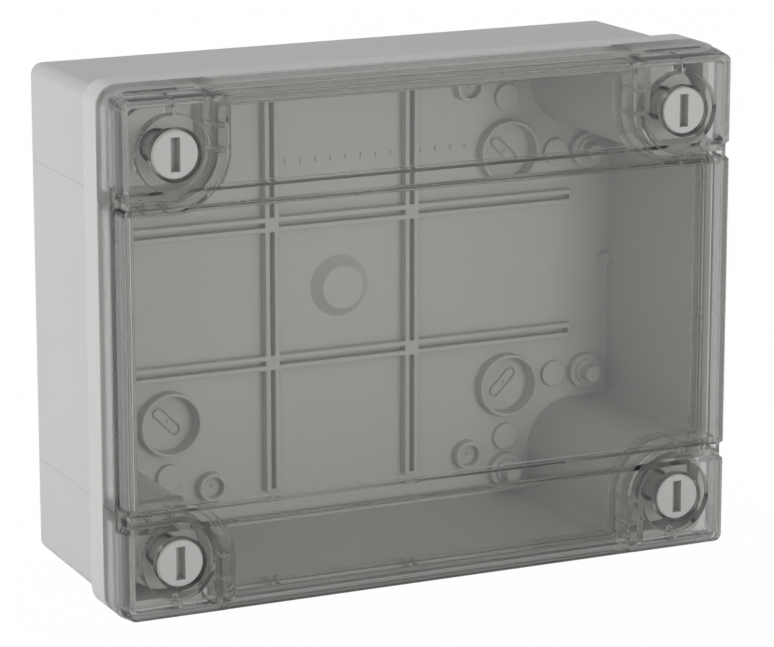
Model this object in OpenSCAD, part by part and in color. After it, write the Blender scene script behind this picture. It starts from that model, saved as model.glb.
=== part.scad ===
// Wall-mounting junction enclosure: a moulded grey base with a deep smoked cover,
// a continuous seal and four captive quarter-turn cover screws.
// The cover faces -Y, the wall is on the +Y side and +Z is up.
// The origin is the middle of the bottom of the whole enclosure.

/* [Base] */
// Width of the base where it meets the wall
body_w = 246; // [220:1:320]
// Height of the base where it meets the wall
body_h = 192; // [170:1:260]
// Radius of the four upright edges of the base
body_r = 4.5; // [3:0.5:8]
// Rounding of the edge that meets the wall
body_edge = 0.6; // [0.3:0.1:1.5]
// How much each side leans outward between the wall and the flange
body_draft = 0.6; // [0.2:0.1:1]
// Thickness of the side walls
wall = 2.4; // [2:0.1:3]
// Depth of the hollow behind the back panel
back_recess = 7.4; // [5:0.2:10]
// Thickness of the back panel
back_panel = 2.6; // [2:0.1:3.2]
// Radius of the upright inside corners
inner_r = 3; // [2:0.5:4]

/* [Flange] */
// Distance from the wall to the back of the flange
flange_from = 64; // [50:1:90]
// Depth of the flange
flange_deep = 14; // [10:0.5:18]
// How far the flange stands out at the left and right
flange_out_x = 3.5; // [2.5:0.1:5]
// How far the flange stands out at the top and bottom
flange_out_z = 4; // [2.5:0.1:5]
// Corner radius of the flange
flange_r = 8; // [6:0.5:10]
// Radius of the back edge of the flange
flange_edge = 1.2; // [0.4:0.1:2.4]
// Thickness of the flange rim around the corner pockets
rim = 3; // [2.4:0.1:3.4]

/* [Seal] */
// Thickness of the tongue that presses into the seal
tongue = 2.5; // [2.2:0.1:3]
// Height of the tongue above the flange
tongue_rise = 6.5; // [5:0.25:7]
// Play between the tongue and the groove of the cover
tongue_gap = 0.4; // [0.3:0.05:0.5]
// Thickness of the seal strip
seal_t = 2.5; // [1.5:0.25:3]
// Thickness of the lip inside the seal groove
lip = 1.8; // [1.2:0.1:2]
// How far the lip reaches past the seal towards the wall
lip_reach = 5; // [4:0.25:6]
// Fillets where the seal path turns round the screw columns
path_fillet = 4; // [3:0.5:5]

/* [Screw columns] */
// Distance of each screw axis from the left or right side of the base
screw_in_x = 18.5; // [17.5:0.1:20]
// Distance of each screw axis from the top or bottom of the base
screw_in_z = 19.5; // [18:0.1:21]
// Radius of the column face that the inside of the base shows
column_r = 19.8; // [19.5:0.1:20.4]
// Radius of the round column core at the corner pocket
core_r = 15; // [14:0.1:15.4]
// Radius of the receiver bore for the screw
receiver_r = 6.6; // [6.4:0.1:7]
// Distance from the screw axis at which the deep part of a corner pocket begins
pocket_from = 6; // [4:0.5:8]
// Reach of the shallow arms of a corner pocket past the screw axis
pocket_arm = 8; // [4:0.5:10]
// Distance from the wall to the floor of a corner pocket
pocket_floor = 30; // [20:1:45]
// Depth of the receiver bore
receiver_deep = 24; // [22:0.5:30]
// Radius of the hollow that lightens the column from behind
coring_r = 11.5; // [9:0.5:12]
// Solid thickness left between the hollow and the receiver bore
coring_stop = 3; // [2:0.5:5]

/* [Cover] */
// Distance from the flange to the front face of the cover
cover_deep = 22.5; // [21:0.5:40]
// Depth of the cover's rim band
band_deep = 11; // [10.5:0.25:12]
// How far the rim band is set back between the corner zones
band_step = 0.4; // [0.2:0.1:1]
// Radius of the front edge of the cover's band
band_edge = 1.8; // [0.6:0.1:2.4]
// Thickness of the front panel of the cover
panel = 2.5; // [2:0.1:3]
// Thickness of the raised side walls of the cover
cover_wall = 2.6; // [2:0.1:3]
// Set-back of the raised part from the band at the left and right
raise_in_x = 0.7; // [0.5:0.1:1.4]
// Set-back of the raised part from the band at the top and bottom
raise_in_z = 2.1; // [1.2:0.1:2.6]
// Lean of the raised side walls
raise_draft = 0.9; // [0.4:0.1:1.2]
// Corner radius of the raised part
raise_r = 2.8; // [2.2:0.1:6]
// How much smaller the corner radius is inside the raised part
room_corner_less = 1; // [0.8:0.1:1.2]
// Further set-back of the raised part between the corner zones, left and right
step_x = 0.9; // [0.5:0.1:1.2]
// Further set-back of the raised part between the corner zones, top and bottom
step_z = 1.2; // [0.8:0.1:1.4]
// Length of the slope at each end of a set-back
step_run = 5; // [3:0.5:7]
// How far the set-back at the top and bottom reaches into each corner zone
step_lap = 1.5; // [1:0.1:2]
// Rounding of the front edge
front_edge = 1.4; // [0.8:0.1:2.4]
// Rounding of the inner edge of the front panel
room_edge = 1.6; // [0.8:0.1:2]
// Thickness of the ledge behind the front of the band
shelf_t = 1; // [0.8:0.1:1.2]
// Width of a corner zone of the band, measured from the side
zone_x = 42; // [38:0.5:48]
// Height of a corner zone of the band, measured from the top or bottom
zone_z = 42.5; // [38:0.5:48]
// Distance of each cross groove from the middle of the cover
groove_z = 59.7; // [50:0.1:90]
// Width of a cross groove at the surface
groove_w = 8; // [6:0.1:9]
// Extra width of the wall behind a cross groove, on each side
groove_back_side = 0.5; // [0.3:0.1:0.8]
// Width of a cross groove at its bottom
groove_floor = 4.6; // [4:0.1:5.6]
// Depth of a cross groove
groove_deep = 1.5; // [0.8:0.1:1.6]
// Thickness of the wall between the seal groove and the screw pocket
collar_wall = 2.4; // [1.6:0.1:2.6]
// Thickness of the floor that carries the screw head
seat = 1.7; // [1.4:0.1:2.4]
// Distance from the inner to the outer stiffening web of a pair
web_pitch = 9; // [8:0.25:9.5]
// Outward shift of the webs above and below the screws
web_shift = 2.2; // [0:0.1:3]
// Thickness of the stiffening webs
web_t = 1.4; // [0.8:0.1:1.8]

/* [Cover screws] */
// Diameter of the screw head
head_d = 17.8; // [16:0.1:18.4]
// Thickness of the screw head
head_t = 5.6; // [5:0.1:6]
// How far the head lies below the front face
head_sink = 0.6; // [0.3:0.1:1]
// Play around the head
head_gap = 0.9; // [0.6:0.1:2.4]
// Chamfer round the face of the head
head_edge = 0.4; // [0.2:0.1:0.8]
// Width of the driver slot
slot_w = 3.6; // [2.5:0.1:4]
// Length of the driver slot
slot_l = 12.6; // [10:0.1:13.6]
// Depth of the driver slot
slot_deep = 4.6; // [3:0.1:4.8]
// Diameter of the screw shank
shank_d = 10; // [8:0.1:10.4]
// Length of the screw below its head
shank_l = 28.4; // [24:0.1:32]
// Play around the shank in its seat
shank_gap = 0.4; // [0.3:0.1:0.6]
// Radius of the two locking lugs
lug_r = 6.2; // [5.8:0.1:6.2]
// Width of a locking lug
lug_w = 4; // [3:0.1:5]
// Height of a locking lug
lug_h = 3; // [2:0.1:4]

/* [Back panel details] */
// Distance of each upright rib from the middle
rib_x = 30.2; // [20:0.1:50]
// Distance of each level rib from the middle
rib_z = 27.7; // [18:0.1:45]
// Reach of the level ribs from the middle
rib_reach_x = 101.5; // [80:0.5:110]
// Reach of the upright ribs from the middle
rib_reach_z = 80; // [60:0.5:90]
// Overall width of a double rib
rib_w = 5.8; // [5:0.1:7]
// Width of the slot between the two rails of a rib
rib_slot = 2; // [1.6:0.1:2.6]
// Height of the ribs above the back panel
rib_h = 4; // [3:0.1:5]
// Radius of the middle boss at the panel
boss_r1 = 12.4; // [10:0.1:14]
// Radius of the middle boss at its face
boss_r2 = 8.6; // [6:0.1:9]
// Height of the middle boss
boss_h = 4.5; // [3:0.1:5]
// Distance of each wall-fixing well from the middle, along the width
well_x = 73.5; // [60:0.5:80]
// Distance of each wall-fixing well from the middle, along the height
well_z = 48; // [44:0.5:55]
// Outer radius of a wall-fixing well
well_r = 12.8; // [10.5:0.1:13.4]
// Wall of a wall-fixing well
well_wall = 1.2; // [1:0.1:1.6]
// Thickness of the well floor at the wall
well_floor = 8; // [6:0.1:9]
// Height of the well rim above the back panel
well_rise = 5; // [3:0.1:6]
// Length of the knock-out slot in the well
knock_l = 14.5; // [10:0.1:16]
// Width of the knock-out slot
knock_w = 4.8; // [4:0.1:6]
// Width of the groove that outlines the knock-out slot
knock_line = 0.7; // [0.4:0.1:1]
// Thickness of the skin that closes the knock-out slot
knock_skin = 0.8; // [0.5:0.1:1.2]
// Distance of each accessory cup from the middle, along the width
cup_x = 56; // [50:0.5:58]
// Distance of each accessory cup from the middle, along the height
cup_z = 75.5; // [70:0.5:82]
// Outer radius of an accessory cup
cup_r = 5.8; // [5:0.1:6.4]
// Bore radius of an accessory cup
cup_bore = 4.3; // [3:0.1:4.6]
// Radius of the centre mark in the floor of a cup or well
cup_mark = 0.8; // [0.5:0.1:1]
// Thickness of the floor of a cup
cup_base = 3.3; // [2.6:0.1:4]
// Height of an accessory cup above the back panel
cup_rise = 4.2; // [3:0.1:6]
// Radius of a low round pad
pad_r = 5.3; // [4:0.1:6]
// Height of a low round pad
pad_h = 2; // [1:0.1:3]
// Shift of the pads and posts beside a well toward the middle level
side_shift = 2; // [0:0.1:3]
// Spacing from a well to its pads
pad_pitch = 22; // [20:0.1:24]
// Radius of the foot of a stepped post
foot_r = 7.2; // [6:0.1:7.4]
// Height of the foot of a stepped post
foot_h = 3.4; // [2:0.1:4.4]
// Radius of a stepped post
post_r = 3.3; // [2.5:0.1:4]
// Height of a stepped post above the back panel
post_h = 10; // [7:0.5:12]
// Radius of the step between the foot and a stepped post
step_r = 5; // [4.4:0.1:6]
// Height of that step above the foot
step_h = 1.2; // [0.6:0.1:2]
// Spacing from a well to its stepped posts
post_pitch = 36; // [35:0.1:37]
// Radius of the small peg beside each side wall
peg_r = 2.5; // [1.5:0.1:3]
// Height of the small pegs
peg_h = 3; // [2:0.1:5]
// Spacing of the marking pips
pip_pitch = 6.5; // [5:0.1:8]
// Height of the row of marking pips above the middle
pip_z = 51.5; // [48:0.1:55]
// Width of a marking pip
pip_w = 0.7; // [0.4:0.1:1]
// Length of a marking pip
pip_l = 2; // [1:0.1:3]
// Height of a marking pip
pip_h = 0.4; // [0.3:0.1:0.6]

/* [Hidden] */
$fn = 64;
hull_fn = 32;
eps = 0.01;
over = 1;

// Depths are counted forward from the wall
floor_at = back_recess + back_panel;
cup_floor = back_recess + cup_base;
parting = flange_from + flange_deep;
tongue_top = parting + tongue_rise;
groove_roof = tongue_top + seal_t;
band_front = parting + band_deep;
front = parting + cover_deep;
ceiling = front - panel;
head_face = front - head_sink;
head_back = head_face - head_t;
collar_from = head_back - seat;
lip_from = groove_roof - lip_reach;
shelf = band_front + shelf_t;

// Widths and heights
flange_w = body_w + 2 * flange_out_x;
flange_h = body_h + 2 * flange_out_z;
inner_w = body_w - 2 * wall;
inner_h = body_h - 2 * wall;
screw_x = body_w / 2 - screw_in_x;
screw_z = body_h / 2 - screw_in_z;
far_x = flange_w / 2;
far_z = flange_h / 2;
skirt_grow = tongue + tongue_gap;
skirt_in_w = inner_w + 2 * skirt_grow;
skirt_in_h = inner_h + 2 * skirt_grow;
raise_w = flange_w - 2 * raise_in_x;
raise_h = flange_h - 2 * raise_in_z;
room_r = raise_r - room_corner_less;
room_w = raise_w - 2 * raise_draft - 2 * cover_wall;
room_h = raise_h - 2 * raise_draft - 2 * cover_wall;
mid_x = raise_w / 2 - step_x;
mid_z = raise_h / 2 - step_z;

// Radii about a screw axis, from the room of the cover inward to its pocket
lip_in_r = column_r + tongue_gap + lip;
lip_out_r = column_r + tongue_gap;
wall_out_r = column_r - skirt_grow;
pocket_r = wall_out_r - collar_wall;
head_hole_r = head_d / 2 + head_gap;
shank_hole_r = shank_d / 2 + shank_gap;

base_colour = "#c9cbcb";
cover_colour = [0.42, 0.43, 0.44, 0.5];
seal_colour = "#3a3b3c";
screw_colour = "#d2d3d2";

// ---------- helpers ----------

// Stands a flat outline up and gives it depth, from one distance off the wall to another
module layer(back, front_at) {
    translate([0, -back, 0]) rotate([90, 0, 0]) linear_extrude(front_at - back) children();
}

// A round bar or bore along the depth
module rod(x, z, r, back, front_at) {
    translate([x, -back, z]) rotate([90, 0, 0]) cylinder(r = r, h = front_at - back);
}

module each_quadrant_2d() {
    for (sx = [0, 1], sz = [0, 1]) mirror([sx, 0]) mirror([0, sz]) children();
}

module each_quadrant() {
    for (sx = [0, 1], sz = [0, 1]) mirror([sx, 0, 0]) mirror([0, 0, sz]) children();
}

module rounded_rect(w, h, r) {
    square([w - 2 * r, h], center = true);
    square([w, h - 2 * r], center = true);
    for (sx = [-1, 1], sz = [-1, 1]) translate([sx * (w / 2 - r), sz * (h / 2 - r)]) circle(r);
}

// Outline of a screw column: round towards the middle of the box, square to its corner
module column_outline(r, reach_x, reach_z) {
    translate([screw_x, screw_z]) circle(r);
    translate([screw_x, screw_z - r]) square([reach_x - screw_x, reach_z - screw_z + r]);
    translate([screw_x - r, screw_z]) square([reach_x - screw_x + r, reach_z - screw_z]);
}

// Web that fills a square notch up to a quarter circle
module fillet_2d(r) {
    difference() {
        translate([-over, -over]) square(r + over);
        translate([r, r]) circle(r);
    }
}

// The path of the seal, grown outward: a rectangle that steps round the four columns
module seal_outline(grow) {
    half_w = inner_w / 2 + grow;
    half_h = inner_h / 2 + grow;
    r = column_r - grow;
    f = path_fillet + grow;
    difference() {
        rounded_rect(2 * half_w, 2 * half_h, inner_r);
        each_quadrant_2d() {
            column_outline(r, half_w + over, half_h + over);
            translate([half_w, screw_z - r]) rotate(180) fillet_2d(f);
            translate([screw_x - r, half_h]) rotate(180) fillet_2d(f);
        }
    }
}

// ---------- base ----------

module body_block() {
    lean = 2 * body_draft;
    cut = 2 * body_edge;
    hull() {
        layer(0, eps) rounded_rect(body_w - cut, body_h - cut, body_r, $fn = hull_fn);
        layer(body_edge, body_edge + eps) rounded_rect(body_w, body_h, body_r, $fn = hull_fn);
        layer(flange_from, flange_from + over)
            rounded_rect(body_w + lean, body_h + lean, body_r, $fn = hull_fn);
    }
}

// Deep part of a corner pocket, between the column core and the corner of the box
module pocket_outline() {
    difference() {
        intersection() {
            rounded_rect(inner_w, inner_h, inner_r);
            translate([screw_x + pocket_from, screw_z + pocket_from]) square(far_x);
        }
        translate([screw_x, screw_z]) circle(core_r);
    }
}

// Shallow channel between the column core and the flange rim
module channel_outline() {
    difference() {
        intersection() {
            rounded_rect(flange_w - 2 * rim, flange_h - 2 * rim, flange_r - rim);
            translate([screw_x - pocket_arm, screw_z - pocket_arm]) square(far_x);
        }
        translate([screw_x, screw_z]) circle(core_r);
        translate([screw_x - far_x, screw_z - far_z]) square([far_x, far_z + core_r]);
        translate([screw_x - far_x, screw_z - far_z]) square([far_x + core_r, far_z]);
    }
}

// Double rails crossing like a hash, open between the rails
module rib_outline() {
    end_x = rib_reach_x - rib_slot / 2;
    end_z = rib_reach_z - rib_slot / 2;
    pad = rib_w / 2;
    difference() {
        for (s = [-1, 1]) {
            translate([0, s * rib_z]) square([2 * rib_reach_x, rib_w], center = true);
            translate([s * rib_x, 0]) square([rib_w, 2 * rib_reach_z], center = true);
        }
        each_quadrant_2d() {
            translate([-over, rib_z - rib_slot / 2]) square([rib_x - pad + over, rib_slot]);
            translate([rib_x + pad, rib_z - rib_slot / 2]) square([end_x - rib_x - pad, rib_slot]);
            translate([rib_x - rib_slot / 2, -over]) square([rib_slot, rib_z - pad + over]);
            translate([rib_x - rib_slot / 2, rib_z + pad]) square([rib_slot, end_z - rib_z - pad]);
        }
    }
}

module knock_outline(inset = 0) {
    half = (knock_l - knock_w) / 2;
    r = knock_w / 2 - inset;
    translate([well_x, well_z]) rotate(-45) {
        square([2 * half, 2 * r], center = true);
        translate([-half, 0]) circle(r);
        translate([half, 0]) circle(r);
    }
}

// Everything that stands up from one quarter of the back panel
module quarter_features() {
    from = back_recess + eps;
    rod(well_x, well_z, well_r, 0, floor_at + well_rise);
    rod(cup_x, cup_z, cup_r, from, floor_at + cup_rise);
    rod(well_x + pad_pitch, well_z - side_shift, pad_r, from, floor_at + pad_h);
    rod(well_x, well_z + pad_pitch, pad_r, from, floor_at + pad_h);
    for (p = [[well_x + post_pitch, well_z - side_shift], [well_x, well_z + post_pitch]]) {
        rod(p[0], p[1], foot_r, from, floor_at + foot_h);
        rod(p[0], p[1], step_r, from, floor_at + foot_h + step_h);
        rod(p[0], p[1], post_r, from, floor_at + post_h);
    }
}

module quarter_cuts() {
    skin_at = well_floor - knock_skin;
    rod(well_x, well_z, well_r - well_wall, well_floor, floor_at + well_rise + over);
    layer(-over, skin_at - knock_skin) knock_outline();
    layer(skin_at, well_floor + over) difference() {
        knock_outline();
        knock_outline(knock_line);
    }
    rod(well_x, well_z, cup_mark, well_floor - knock_skin / 2, well_floor + over);
    rod(cup_x, cup_z, cup_bore, cup_floor, floor_at + cup_rise + over);
    rod(cup_x, cup_z, cup_mark, cup_floor - cup_mark / 2, cup_floor + over);
}

module pips() {
    for (i = [0 : 12]) {
        x = -3.5 * pip_pitch + i * pip_pitch;
        if (abs(x - rib_x) > rib_w / 2 + pip_w)
            layer(floor_at - eps, floor_at + pip_h) translate([x, pip_z])
                square([pip_w, pip_l], center = true);
    }
}

// Upright rim that closes each corner behind the cover's band
module corner_rim_outline() {
    intersection() {
        difference() {
            rounded_rect(inner_w + 2 * tongue, inner_h + 2 * tongue, inner_r + tongue);
            rounded_rect(inner_w, inner_h, inner_r);
        }
        at_columns(pocket_r - tongue_gap);
    }
}

module flange_block() {
    hull() {
        layer(parting - eps, parting) rounded_rect(flange_w, flange_h, flange_r, $fn = hull_fn);
        for (a = [0 : 22.5 : 90]) {
            inset = 2 * flange_edge * (1 - sin(a));
            at = flange_from + flange_edge * (1 - cos(a));
            layer(at, at + eps) rounded_rect(flange_w - inset, flange_h - inset, flange_r, $fn = hull_fn);
        }
    }
}

module base_plain() {
    difference() {
        union() {
            body_block();
            flange_block();
            layer(parting - eps, tongue_top) seal_outline(tongue);
        }
        layer(floor_at, tongue_top + over) seal_outline(0);
        layer(-over, back_recess) rounded_rect(inner_w, inner_h, inner_r);
        each_quadrant() {
            rod(screw_x, screw_z, receiver_r, parting - receiver_deep, parting + over);
            rod(screw_x, screw_z, coring_r, -over, parting - receiver_deep - coring_stop);
            layer(pocket_floor, parting + over) pocket_outline();
            layer(flange_from, parting + over) channel_outline();
        }
    }
    layer(flange_from - over, tongue_top) corner_rim_outline();
}

module base() {
    color(base_colour) placed() difference() {
        union() {
            base_plain();
            each_quadrant() quarter_features();
            layer(floor_at - eps, floor_at + rib_h) rib_outline();
            translate([0, -floor_at + eps, 0]) rotate([90, 0, 0])
                cylinder(r1 = boss_r1, r2 = boss_r2, h = boss_h);
            for (s = [-1, 1]) rod(s * (inner_w / 2 - peg_r), 0, peg_r, floor_at - eps, floor_at + peg_h);
            pips();
        }
        each_quadrant() quarter_cuts();
    }
}

// ---------- cover ----------

module band_block() {
    hull() {
        layer(parting, parting + eps) rounded_rect(flange_w, flange_h, flange_r, $fn = hull_fn);
        for (a = [0 : 22.5 : 90]) {
            inset = 2 * band_edge * (1 - cos(a));
            at = band_front - band_edge + band_edge * sin(a);
            layer(at - eps, at) rounded_rect(flange_w - inset, flange_h - inset, flange_r, $fn = hull_fn);
        }
    }
}

// Ring cut from the band between the corner zones
module band_step_outline() {
    step = 2 * band_step;
    difference() {
        square([flange_w + over, flange_h + over], center = true);
        rounded_rect(flange_w - step, flange_h - step, flange_r - band_step);
        each_quadrant_2d() translate([far_x - zone_x, far_z - zone_z]) square([zone_x + over, zone_z + over]);
    }
}

module raised_block() {
    hull() {
        layer(band_front - over, band_front) rounded_rect(raise_w, raise_h, raise_r, $fn = hull_fn);
        for (a = [0 : 22.5 : 90]) {
            inset = 2 * raise_draft + 2 * front_edge * (1 - cos(a));
            at = front - front_edge + front_edge * sin(a);
            layer(at - eps, at) rounded_rect(raise_w - inset, raise_h - inset, raise_r, $fn = hull_fn);
        }
    }
}

// Trapezoid strip beside the raised part, cut away between the corner zones
module step_outline(reach, surface) {
    end = reach + step_run;
    top = surface + step_run;
    polygon([[-reach, surface], [reach, surface], [end, top], [-end, top]]);
}

module mid_steps() {
    reach_x = far_x - zone_x + step_lap;
    reach_z = groove_z;
    layer(band_front, front + over) for (a = [0, 180]) rotate(a) {
        step_outline(reach_x, mid_z);
        rotate(90) step_outline(reach_z, mid_x);
    }
}

// Cross-section of a cross groove: surface at zero, floor below it
module groove_section(deep, outward) {
    lean = (groove_w - groove_floor) / 2 / deep;
    wide = groove_w / 2 + lean * outward;
    narrow = groove_floor / 2;
    polygon([[-deep, -narrow], [-deep, narrow], [outward, wide], [outward, -wide]]);
}

module grooves() {
    side = groove_deep - 0.2;
    for (s = [-1, 1]) translate([0, 0, s * groove_z]) {
        translate([-far_x, -front, 0]) rotate([90, 0, 90]) linear_extrude(flange_w)
            mirror([1, 0]) groove_section(groove_deep, over);
        for (m = [0, 1]) mirror([m, 0, 0])
            layer(band_front, front + over) translate([mid_x, 0]) groove_section(side, 2);
    }
}

// Bars that keep the wall full behind a cross groove
module groove_backs() {
    wide = groove_w + 2 * groove_back_side;
    for (s = [-1, 1]) translate([0, 0, s * groove_z]) {
        translate([-room_w / 2, -ceiling - eps, -wide / 2]) cube([room_w, groove_deep, wide]);
        for (m = [0, 1]) mirror([m, 0, 0])
            translate([room_w / 2 - groove_deep, -ceiling, -wide / 2])
                cube([groove_deep + eps, ceiling - shelf, wide]);
    }
}

module at_columns(r) {
    each_quadrant_2d() column_outline(r, far_x, far_z);
}

module deep_groove_outline() {
    intersection() {
        rounded_rect(room_w, room_h, room_r);
        difference() {
            at_columns(lip_out_r);
            at_columns(wall_out_r);
        }
    }
}

module seal_groove_outline() {
    difference() {
        seal_outline(skirt_grow);
        seal_outline(-tongue_gap);
    }
}

// Two stiffening webs across each leg of the groove round a column
module web_outline() {
    from = wall_out_r - over;
    each_quadrant_2d() for (o = [0, web_pitch]) {
        translate([screw_x - lip_in_r, screw_z + o - web_t / 2]) square([lip_in_r - from, web_t]);
        translate([screw_x + web_shift + o - web_t / 2, screw_z - lip_in_r])
            square([web_t, lip_in_r - from]);
    }
}

// Rib from each screw seat to the end wall
module seat_rib_outline() {
    each_quadrant_2d() translate([screw_x - web_t / 2, screw_z + pocket_r - over])
        square([web_t, room_h / 2 - screw_z - pocket_r + 2 * over]);
}

// The room's front part as a block with a rounded inner edge
module room_block() {
    hull() {
        layer(shelf - eps, shelf) rounded_rect(room_w, room_h, room_r, $fn = hull_fn);
        for (a = [0 : 22.5 : 90]) {
            inset = 2 * room_edge * (1 - cos(a));
            at = ceiling - room_edge + room_edge * sin(a);
            layer(at - eps, at) rounded_rect(room_w - inset, room_h - inset, room_r, $fn = hull_fn);
        }
    }
}

module cover_shell() {
    difference() {
        union() {
            difference() {
                band_block();
                layer(parting - over, band_front + over) band_step_outline();
            }
            difference() {
                raised_block();
                mid_steps();
                grooves();
            }
        }
        layer(parting - over, shelf) seal_outline(-tongue_gap - lip);
        layer(parting - over, lip_from) seal_outline(skirt_grow);
        layer(parting - over, groove_roof) seal_groove_outline();
        layer(groove_roof - eps, ceiling) deep_groove_outline();
        difference() {
            room_block();
            layer(shelf - over, front) at_columns(lip_in_r);
            groove_backs();
        }
        layer(parting - over, shelf) intersection() {
            rounded_rect(skirt_in_w, skirt_in_h, flange_r - rim);
            at_columns(pocket_r);
        }
        layer(shelf - eps, ceiling) intersection() {
            rounded_rect(room_w, room_h, room_r);
            at_columns(pocket_r);
        }
    }
}

module cover() {
    color(cover_colour) placed() difference() {
        union() {
            cover_shell();
            layer(groove_roof, ceiling + eps) web_outline();
            layer(shelf, ceiling + eps) seat_rib_outline();
            each_quadrant() rod(screw_x, screw_z, pocket_r, collar_from, ceiling + eps);
        }
        each_quadrant() {
            rod(screw_x, screw_z, head_hole_r, head_back, front + over);
            rod(screw_x, screw_z, shank_hole_r, collar_from - over, head_back + over);
        }
    }
}

// ---------- seal and cover screws ----------

module gasket() {
    side = tongue_gap / 2;
    color(seal_colour) placed() layer(tongue_top, groove_roof) difference() {
        seal_outline(tongue);
        seal_outline(side);
    }
}

module screw(sx, sz) {
    tip = head_back - shank_l;
    color(screw_colour) placed() translate([sx * screw_x, 0, sz * screw_z]) {
        difference() {
            union() {
                rod(0, 0, head_d / 2, head_back, head_face - head_edge);
                translate([0, head_edge - head_face, 0]) rotate([90, 0, 0])
                    cylinder(r1 = head_d / 2, r2 = head_d / 2 - head_edge, h = head_edge);
            }
            layer(head_face - slot_deep, head_face + over) square([slot_w, slot_l], center = true);
        }
        rod(0, 0, shank_d / 2, tip, head_back + eps);
        layer(tip + over, tip + over + lug_h) intersection() {
            circle(lug_r);
            square([2 * lug_r, lug_w], center = true);
        }
    }
}

module screw_upper_left() { screw(-1, 1); }
module screw_upper_right() { screw(1, 1); }
module screw_lower_left() { screw(-1, -1); }
module screw_lower_right() { screw(1, -1); }

// Moves the middle of the bottom of the enclosure to the origin
module placed() {
    translate([0, front / 2, far_z]) children();
}

base();
cover();
gasket();
screw_upper_left();
screw_upper_right();
screw_lower_left();
screw_lower_right();
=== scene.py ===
import bmesh
import bpy
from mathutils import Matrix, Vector


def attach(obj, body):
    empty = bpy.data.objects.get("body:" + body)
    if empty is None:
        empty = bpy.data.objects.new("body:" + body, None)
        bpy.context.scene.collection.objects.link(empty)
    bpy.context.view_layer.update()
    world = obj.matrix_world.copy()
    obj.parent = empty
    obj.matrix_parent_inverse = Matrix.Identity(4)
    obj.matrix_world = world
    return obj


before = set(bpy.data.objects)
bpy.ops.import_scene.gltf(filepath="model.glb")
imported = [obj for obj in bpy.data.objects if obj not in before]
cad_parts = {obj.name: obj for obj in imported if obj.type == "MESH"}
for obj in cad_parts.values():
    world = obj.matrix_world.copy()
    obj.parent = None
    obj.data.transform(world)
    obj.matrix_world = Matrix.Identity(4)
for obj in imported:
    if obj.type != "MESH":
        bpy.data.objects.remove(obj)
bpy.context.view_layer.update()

# Materials, floor, light and camera for the carried-over parts. The only piece made here is corner_webs.

MM = 0.001
MIDDLE_UP = 100.0 * MM
SCREWS = ("screw_upper_left", "screw_upper_right", "screw_lower_left", "screw_lower_right")

# ---------- nodes: short forms ----------


def add(tree, kind, **values):
    """A node with its plain settings and socket values."""
    made = tree.nodes.new(kind)
    for key, value in values.items():
        if hasattr(made, key):
            setattr(made, key, value)
        else:
            made.inputs[key.replace("_", " ")].default_value = value
    return made


def stepper(tree):
    """Short form for a chain of Math nodes in one tree."""

    def step(operation, first, second=None):
        made = add(tree, "ShaderNodeMath", operation=operation)
        for number, value in enumerate((first, second)):
            if value is None:
                continue
            if isinstance(value, float):
                made.inputs[number].default_value = value
            else:
                tree.links.new(value, made.inputs[number])
        return made.outputs[0]

    return step


def ranged(tree, value, low, high):
    """A value from 0 to 1 spread between two others."""
    made = add(tree, "ShaderNodeMapRange", To_Min=low, To_Max=high)
    tree.links.new(value, made.inputs["Value"])
    return made.outputs["Result"]


def blended(tree, first, second, factor):
    """Two colours, plain or linked, mixed by a factor."""
    made = add(tree, "ShaderNodeMix", data_type="RGBA")
    tree.links.new(factor, made.inputs["Factor"])
    for label, value in (("A", first), ("B", second)):
        if isinstance(value, tuple):
            made.inputs[label].default_value = (*value, 1.0)
        else:
            tree.links.new(value, made.inputs[label])
    return made.outputs["Result"]


def chosen(tree, factor, without, within):
    """One of two shaders, by a factor."""
    made = tree.nodes.new("ShaderNodeMixShader")
    for number, value in enumerate((factor, without, within)):
        tree.links.new(value, made.inputs[number])
    return made.outputs["Shader"]


def new_material(name):
    """An empty node material, its tree and its output."""
    material = bpy.data.materials.new(name)
    material.use_nodes = True
    tree = material.node_tree
    tree.nodes.clear()
    return material, tree, tree.nodes.new("ShaderNodeOutputMaterial")


def new_group(name, inputs, outputs):
    """A node group of named values: its tree, inputs, outputs and the object's own coordinates."""
    tree = bpy.data.node_groups.new(name, "ShaderNodeTree")
    for label, value in inputs:
        socket = tree.interface.new_socket(label, in_out="INPUT", socket_type="NodeSocketFloat")
        socket.default_value = value
    for label in outputs:
        tree.interface.new_socket(label, in_out="OUTPUT", socket_type="NodeSocketFloat")
    come = tree.nodes.new("NodeGroupInput")
    leave = tree.nodes.new("NodeGroupOutput")
    place = tree.nodes.new("ShaderNodeTexCoord")
    return tree, come.outputs, leave.inputs, place.outputs["Object"]


def split_place(tree, place):
    """The three parts of a coordinate."""
    made = tree.nodes.new("ShaderNodeSeparateXYZ")
    tree.links.new(place, made.inputs[0])
    return made.outputs["X"], made.outputs["Y"], made.outputs["Z"]


# ---------- node groups ----------


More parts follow.
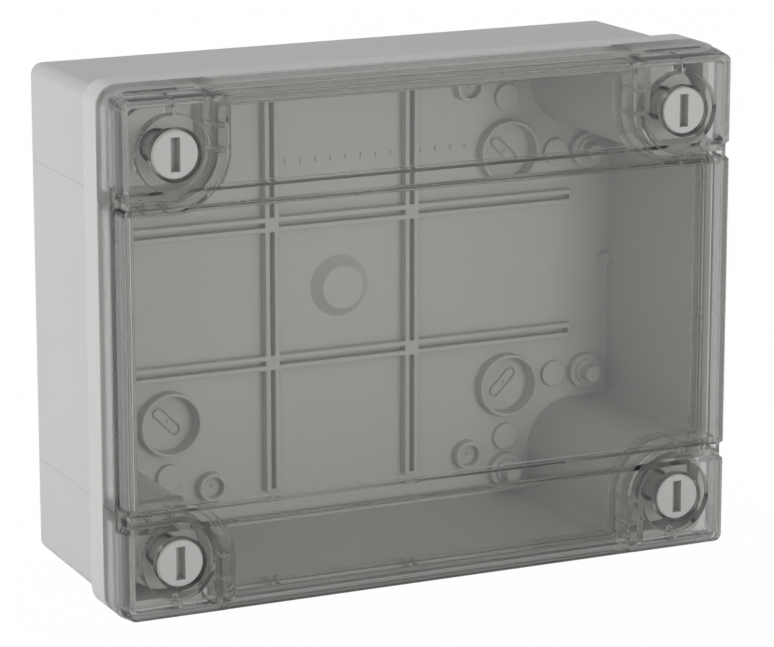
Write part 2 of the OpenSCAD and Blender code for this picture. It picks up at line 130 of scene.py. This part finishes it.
def moulded_surface_group():
    """Fine spark-eroded grain, slow waviness and faint tone drift of a moulding."""
    tree, come, leave, place = new_group(
        "moulded_surface",
        (("Grain Scale", 2500.0), ("Grain", 1.0), ("Wave Scale", 14.0), ("Tone Drift", 0.03)),
        ("Height", "Tone", "Sheen Spread"),
    )
    link = tree.links.new
    step = stepper(tree)
    grain = add(tree, "ShaderNodeTexNoise", Detail=3.0, Roughness=0.6)
    link(place, grain.inputs["Vector"])
    link(come["Grain Scale"], grain.inputs["Scale"])
    wave = add(tree, "ShaderNodeTexNoise", Detail=1.0, Roughness=0.4)
    link(place, wave.inputs["Vector"])
    link(come["Wave Scale"], wave.inputs["Scale"])

    deep = step("MULTIPLY", grain.outputs["Fac"], come["Grain"])
    link(step("ADD", deep, wave.outputs["Fac"]), leave["Height"])
    tone = add(tree, "ShaderNodeMapRange", From_Min=0.3, From_Max=0.7)
    link(wave.outputs["Fac"], tone.inputs["Value"])
    drift = step("MULTIPLY", tone.outputs["Result"], come["Tone Drift"])
    link(step("SUBTRACT", 1.0, drift), leave["Tone"])
    link(grain.outputs["Fac"], leave["Sheen Spread"])
    return tree


def witness_lines_and_flange_highlight_group():
    """Hairlines of the mould's sliding cores on the four side walls, and the outer face of the flange,
    where the material paints a highlight.
    """
    tree, come, leave, place = new_group(
        "witness_lines_and_flange_highlight",
        (
            ("Side Line", 0.059),
            ("End Line", 0.089),
            ("Side Plane", 0.1221),
            ("End Plane", 0.0951),
            ("Line Half Width", 0.00017),
            ("Flange Back", -0.0137),
            ("Rim Side Plane", 0.1232),
            ("Rim End Plane", 0.0962),
        ),
        ("Mask", "Rim"),
    )
    link = tree.links.new
    step = stepper(tree)
    x, y, z = split_place(tree, place)
    across = step("ABSOLUTE", x)
    upward = step("ABSOLUTE", step("SUBTRACT", z, MIDDLE_UP))

    def line(position, position_label, wall, wall_label):
        """A thin line at one position, on the walls beyond one plane."""
        off = step("ABSOLUTE", step("SUBTRACT", position, come[position_label]))
        near = step("LESS_THAN", off, come["Line Half Width"])
        return step("MULTIPLY", near, step("GREATER_THAN", wall, come[wall_label]))

    side = line(upward, "Side Line", across, "Side Plane")
    end = line(across, "End Line", upward, "End Plane")
    behind = step("GREATER_THAN", y, come["Flange Back"])
    link(step("MULTIPLY", step("MAXIMUM", side, end), behind), leave["Mask"])
    # Rim: the outer face of the flange, painted lighter as a painted highlight.
    beside = step("GREATER_THAN", across, come["Rim Side Plane"])
    beyond = step("GREATER_THAN", upward, come["Rim End Plane"])
    ahead = step("LESS_THAN", y, come["Flange Back"])
    link(step("MULTIPLY", step("MAXIMUM", beside, beyond), ahead), leave["Rim"])
    return tree


def screw_recess_shade_group():
    """Painted shade in the narrow ring between each screw head and the cover, down to the seat."""
    tree, come, leave, place = new_group(
        "screw_recess_painted_shade",
        (("Pitch X", 0.1045), ("Pitch Z", 0.0765), ("Ring Radius", 0.0102), ("Seat Plane", -0.0435)),
        ("Mask",),
    )
    step = stepper(tree)
    x, y, z = split_place(tree, place)
    across = step("SUBTRACT", step("ABSOLUTE", x), come["Pitch X"])
    upward = step("ABSOLUTE", step("SUBTRACT", z, MIDDLE_UP))
    upward = step("SUBTRACT", upward, come["Pitch Z"])
    reach = step("ADD", step("MULTIPLY", across, across), step("MULTIPLY", upward, upward))
    near = step("LESS_THAN", step("SQRT", reach), come["Ring Radius"])
    ahead = step("LESS_THAN", y, come["Seat Plane"])
    tree.links.new(step("MULTIPLY", near, ahead), leave["Mask"])
    return tree


def frosted_band_and_wall_shade_group():
    """The matt outer face of the cover's band, and the side and bottom outer walls of the clear raised part
    ahead of it, which get painted shade.
    """
    tree, come, leave, place = new_group(
        "frosted_band_and_wall_shade",
        (
            ("Front Plane", -0.0386),
            ("Half Width", 0.12385),
            ("Half Height", 0.09735),
            ("Wall Half Width", 0.1248),
            ("Wall Half Height", 0.0955),
        ),
        ("Mask", "Wall"),
    )
    link = tree.links.new
    step = stepper(tree)
    x, y, z = split_place(tree, place)
    behind = step("GREATER_THAN", y, come["Front Plane"])
    across = step("ABSOLUTE", x)
    wide = step("GREATER_THAN", across, come["Half Width"])
    downward = step("SUBTRACT", MIDDLE_UP, z)
    high = step("GREATER_THAN", step("ABSOLUTE", downward), come["Half Height"])
    link(step("MULTIPLY", behind, step("MAXIMUM", wide, high)), leave["Mask"])
    ahead = step("SUBTRACT", 1.0, behind)
    # Wall: the side and bottom outer walls of the raised part, where painted shade is laid.
    wide = step("GREATER_THAN", across, come["Wall Half Width"])
    low = step("GREATER_THAN", downward, come["Wall Half Height"])
    link(step("MULTIPLY", ahead, step("MAXIMUM", wide, low)), leave["Wall"])
    return tree


MOULDED = moulded_surface_group()
WITNESS_AND_FLANGE_HIGHLIGHT = witness_lines_and_flange_highlight_group()
RECESS_SHADE_GROUP = screw_recess_shade_group()
FROSTED_AND_WALL_SHADE = frosted_band_and_wall_shade_group()

# ---------- materials ----------

PLASTIC_IOR = 1.5
POLYCARBONATE_IOR = 1.585
EDGE_SAMPLES = 6

GRAIN_DEPTH = 0.02 * MM
GLOSS_BELOW = 0.05
GLOSS_ABOVE = 0.07
LINE_SHADE = 0.72
# painted highlight: how much lighter the outer face of the flange is painted
FLANGE_PAINTED_HIGHLIGHT = 1.09

WAVE_SCALE = 30.0
WAVE_DEPTH = 0.2 * MM
WAVE_STRENGTH = 0.012
CLEAR_ROUGH = 0.02
FROSTED_ROUGH = 0.42
SLANT_BLEND = 0.35
SMOKE_FACING = (0.94, 0.94, 0.93)
SMOKE_SLANTED = (0.52, 0.52, 0.515)
SMOKE_FOR_LAMPS = (0.90, 0.90, 0.89)
# painted shade: the colour laid on the raised part's side and bottom outer walls
WALL_PAINTED_SHADE = (0.28, 0.28, 0.277)
FROSTED_TINT = (0.97, 0.97, 0.965)
# painted shade: the colour laid on the cover in the ring round each screw head
RECESS_PAINTED_SHADE = (0.17, 0.17, 0.17)
NO_TINT = (1.0, 1.0, 1.0)


def surface_relief(tree, skin, edge, strength, depth):
    """Rounded edges with the moulding's fine relief on them."""
    round_edge = add(tree, "ShaderNodeBevel", samples=EDGE_SAMPLES, Radius=edge)
    bump = add(tree, "ShaderNodeBump", Strength=strength, Distance=depth)
    tree.links.new(round_edge.outputs["Normal"], bump.inputs["Normal"])
    tree.links.new(skin.outputs["Height"], bump.inputs["Height"])
    return bump.outputs["Normal"]


def moulded_plastic(name, colour, rough, grain_scale, relief, edge, witness_and_flange_highlight=False):
    """Opaque moulded plastic with softened edges."""
    material, tree, out = new_material(name)
    link = tree.links.new
    skin = add(tree, "ShaderNodeGroup", node_tree=MOULDED)
    skin.inputs["Grain Scale"].default_value = grain_scale
    tone = skin.outputs["Tone"]
    if witness_and_flange_highlight:
        step = stepper(tree)
        lines_and_highlight = add(tree, "ShaderNodeGroup", node_tree=WITNESS_AND_FLANGE_HIGHLIGHT)
        tone = step("MULTIPLY", tone, ranged(tree, lines_and_highlight.outputs["Mask"], 1.0, LINE_SHADE))
        # painted highlight on the outer face of the flange
        tone = step("MULTIPLY", tone, ranged(tree, lines_and_highlight.outputs["Rim"], 1.0, FLANGE_PAINTED_HIGHLIGHT))
    toned = add(tree, "ShaderNodeMix", data_type="RGBA", blend_type="MULTIPLY")
    toned.inputs["Factor"].default_value = 1.0
    toned.inputs["A"].default_value = (*colour, 1.0)
    link(tone, toned.inputs["B"])
    gloss = ranged(tree, skin.outputs["Sheen Spread"], rough - GLOSS_BELOW, rough + GLOSS_ABOVE)
    shader = add(tree, "ShaderNodeBsdfPrincipled", IOR=PLASTIC_IOR)
    link(toned.outputs["Result"], shader.inputs["Base Color"])
    link(gloss, shader.inputs["Roughness"])
    link(surface_relief(tree, skin, edge, relief, GRAIN_DEPTH), shader.inputs["Normal"])
    link(shader.outputs["BSDF"], out.inputs["Surface"])
    return material


def smoked_polycarbonate(name, edge):
    """Clear smoked moulding with a frosted band, painted shade on the raised part's side and bottom walls
    and round the screw heads; the lamps reach what it covers.
    """
    material, tree, out = new_material(name)
    link = tree.links.new
    skin = add(tree, "ShaderNodeGroup", node_tree=MOULDED)
    skin.inputs["Grain"].default_value = 0.0
    skin.inputs["Wave Scale"].default_value = WAVE_SCALE
    band = add(tree, "ShaderNodeGroup", node_tree=FROSTED_AND_WALL_SHADE)
    ring = add(tree, "ShaderNodeGroup", node_tree=RECESS_SHADE_GROUP)
    slant = add(tree, "ShaderNodeLayerWeight", Blend=SLANT_BLEND)

    tint_and_painted_shade = blended(tree, SMOKE_FACING, SMOKE_SLANTED, slant.outputs["Facing"])
    # painted shade on the raised part's side and bottom outer walls
    tint_and_painted_shade = blended(tree, tint_and_painted_shade, WALL_PAINTED_SHADE, band.outputs["Wall"])
    tint_and_painted_shade = blended(tree, tint_and_painted_shade, FROSTED_TINT, band.outputs["Mask"])
    # painted shade in the ring round each screw head
    tint_and_painted_shade = blended(tree, tint_and_painted_shade, RECESS_PAINTED_SHADE, ring.outputs["Mask"])
    shader = add(tree, "ShaderNodeBsdfPrincipled", IOR=POLYCARBONATE_IOR, Transmission_Weight=1.0)
    link(tint_and_painted_shade, shader.inputs["Base Color"])
    link(ranged(tree, band.outputs["Mask"], CLEAR_ROUGH, FROSTED_ROUGH), shader.inputs["Roughness"])
    link(surface_relief(tree, skin, edge, WAVE_STRENGTH, WAVE_DEPTH), shader.inputs["Normal"])

    clear = tree.nodes.new("ShaderNodeBsdfTransparent")
    link(blended(tree, SMOKE_FOR_LAMPS, NO_TINT, band.outputs["Mask"]), clear.inputs["Color"])
    path = tree.nodes.new("ShaderNodeLightPath")
    step = stepper(tree)
    lamp_ray = step("MAXIMUM", path.outputs["Is Shadow Ray"], path.outputs["Is Diffuse Ray"])
    link(chosen(tree, lamp_ray, shader.outputs["BSDF"], clear.outputs["BSDF"]), out.inputs["Surface"])
    return material


def node_objects(node):
    """The objects that carry one part over."""
    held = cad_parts[node]
    return held if isinstance(held, (list, tuple)) else [held]


def give(node, material):
    """Puts one material on every slot of a carried-over part."""
    for thing in node_objects(node):
        if not thing.material_slots:
            thing.data.materials.append(material)
        for slot in thing.material_slots:
            slot.material = material


base_grey = moulded_plastic(
    "light_grey_moulding",
    colour=(0.52, 0.52, 0.508),
    rough=0.42,
    grain_scale=4200.0,
    relief=0.08,
    edge=0.9 * MM,
    witness_and_flange_highlight=True,
)
screw_grey = moulded_plastic(
    "screw_plastic", colour=(0.52, 0.52, 0.505), rough=0.38, grain_scale=4200.0, relief=0.06, edge=0.3 * MM
)
seal_grey = moulded_plastic(
    "foamed_seal", colour=(0.36, 0.36, 0.35), rough=0.85, grain_scale=1800.0, relief=0.9, edge=0.3 * MM
)
smoked = smoked_polycarbonate("smoked_polycarbonate", edge=0.5 * MM)

give("base", base_grey)
give("cover", smoked)
give("gasket", seal_grey)
for screw in SCREWS:
    give(screw, screw_grey)

# ---------- webs in the flange ----------

WEB_X = (95.0 * MM, 121.8 * MM)
WEB_Y = (-15.8 * MM, -13.8 * MM)
WEB_UP = (96.2 * MM, 97.15 * MM)


def shown_mesh(name, made):
    """A scene object from a finished bmesh, which is freed."""
    mesh = bpy.data.meshes.new(name)
    made.to_mesh(mesh)
    made.free()
    thing = bpy.data.objects.new(name, mesh)
    bpy.context.collection.objects.link(thing)
    return thing


def corner_webs():
    """Webs that close the flange behind the four corner channels, above and below."""
    made = bmesh.new()
    for across in (-1.0, 1.0):
        for upward in (-1.0, 1.0):
            box = bmesh.ops.create_cube(made, size=1.0)["verts"]
            size = [high - low for low, high in (WEB_X, WEB_Y, WEB_UP)]
            place = Vector((across * sum(WEB_X) / 2, sum(WEB_Y) / 2, MIDDLE_UP + upward * sum(WEB_UP) / 2))
            bmesh.ops.scale(made, verts=box, vec=size)
            bmesh.ops.translate(made, verts=box, vec=place)
    webs = shown_mesh("corner_webs", made)
    webs.data.materials.append(base_grey)
    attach(webs, "base")


corner_webs()

# ---------- floor, light and camera ----------

FLOOR_HALF = 6.0
FLOOR_PAINT = (0.88, 0.88, 0.88, 1.0)
FLOOR_SEEN = 0.985
FLOOR_BENT = 0.31

# strength at the horizon, strength higher up, and the two heights between which it falls
SKY_LIGHT = (0.60, 0.46, 0.0, 0.9)
SKY_MIRRORED = (0.40, 0.27, 0.0, 0.45)
SKY_BACKDROP = (1.0, 1.0, 0.0, 1.0)

MIDDLE = Vector((0.0, 0.0, MIDDLE_UP))
LAMPS = {
    "left_lamp": {"place": (-1.8, 0.8, 0.25), "size": 1.2, "power": 24.0},
    "top_lamp": {"place": (0.1, 0.9, 1.8), "size": 1.2, "power": 11.0},
    "key_lamp": {"place": (0.5, -2.2, 0.35), "size": 0.8, "power": 14.0},
}

CAMERA_SPOT = Vector((-0.60792, -1.29874, 0.43713))
CAMERA_AIM = Vector((0.00274, 0.00017, 0.09255))
LENS = 177.44
SENSOR = 36.0
CLIP = (0.01, 50.0)


def facing(spot, aim):
    """The turn of a lamp or camera that looks from one place at another."""
    return (aim - spot).to_track_quat("-Z", "Y").to_euler()


def studio_floor():
    """A pale floor that looks white to the camera and half grey through the cover."""
    made = bmesh.new()
    bmesh.ops.create_grid(made, x_segments=1, y_segments=1, size=FLOOR_HALF)
    floor = shown_mesh("studio_floor", made)
    material, tree, out = new_material("pale_floor")
    paint = add(tree, "ShaderNodeBsdfDiffuse", Color=FLOOR_PAINT)
    white = add(tree, "ShaderNodeEmission", Strength=1.0)
    path = tree.nodes.new("ShaderNodeLightPath")
    step = stepper(tree)
    direct = step("MULTIPLY", path.outputs["Is Camera Ray"], FLOOR_SEEN)
    bent = step("MAXIMUM", path.outputs["Is Transmission Ray"], path.outputs["Is Glossy Ray"])
    glow = step("MAXIMUM", direct, step("MULTIPLY", bent, FLOOR_BENT))
    look = chosen(tree, glow, paint.outputs["BSDF"], white.outputs["Emission"])
    tree.links.new(look, out.inputs["Surface"])
    floor.data.materials.append(material)


def studio_world():
    """White all round at eye level and below, calmer overhead, like a tented studio."""
    world = bpy.data.worlds.new("studio")
    bpy.context.scene.world = world
    world.use_nodes = True
    tree = world.node_tree
    tree.nodes.clear()
    path = tree.nodes.new("ShaderNodeLightPath")
    place = tree.nodes.new("ShaderNodeTexCoord")
    height = split_place(tree, place.outputs["Generated"])[2]
    out = tree.nodes.new("ShaderNodeOutputWorld")

    def sky(low, high, start, end):
        """A white background whose strength falls with height."""
        fall = add(tree, "ShaderNodeMapRange", From_Min=start, From_Max=end, To_Min=low, To_Max=high)
        tree.links.new(height, fall.inputs["Value"])
        made = add(tree, "ShaderNodeBackground", Color=(1.0, 1.0, 1.0, 1.0))
        tree.links.new(fall.outputs["Result"], made.inputs["Strength"])
        return made.outputs["Background"]

    step = stepper(tree)
    mirrored = step("MAXIMUM", path.outputs["Is Glossy Ray"], path.outputs["Is Transmission Ray"])
    around = chosen(tree, mirrored, sky(*SKY_LIGHT), sky(*SKY_MIRRORED))
    seen = chosen(tree, path.outputs["Is Camera Ray"], around, sky(*SKY_BACKDROP))
    tree.links.new(seen, out.inputs["Surface"])


def area_lamp(name, place, size, power):
    """A square lamp aimed at the middle that no mirror or clear part shows."""
    lamp = bpy.data.lights.new(name, "AREA")
    lamp.shape = "SQUARE"
    lamp.size = size
    lamp.energy = power
    thing = bpy.data.objects.new(name, lamp)
    bpy.context.collection.objects.link(thing)
    thing.location = place
    thing.rotation_euler = facing(Vector(place), MIDDLE)
    thing.visible_glossy = False
    thing.visible_transmission = False


def studio_camera():
    """The main camera, fitted to the object's straight edges."""
    view = bpy.data.cameras.new("main_camera")
    view.lens = LENS
    view.sensor_width = SENSOR
    view.clip_start, view.clip_end = CLIP
    thing = bpy.data.objects.new("main_camera", view)
    bpy.context.collection.objects.link(thing)
    thing.location = CAMERA_SPOT
    thing.rotation_euler = facing(CAMERA_SPOT, CAMERA_AIM)
    bpy.context.scene.camera = thing


studio_floor()
studio_world()
for lamp_name, values in LAMPS.items():
    area_lamp(lamp_name, **values)
studio_camera()
bpy.context.scene.view_settings.view_transform = "Standard"
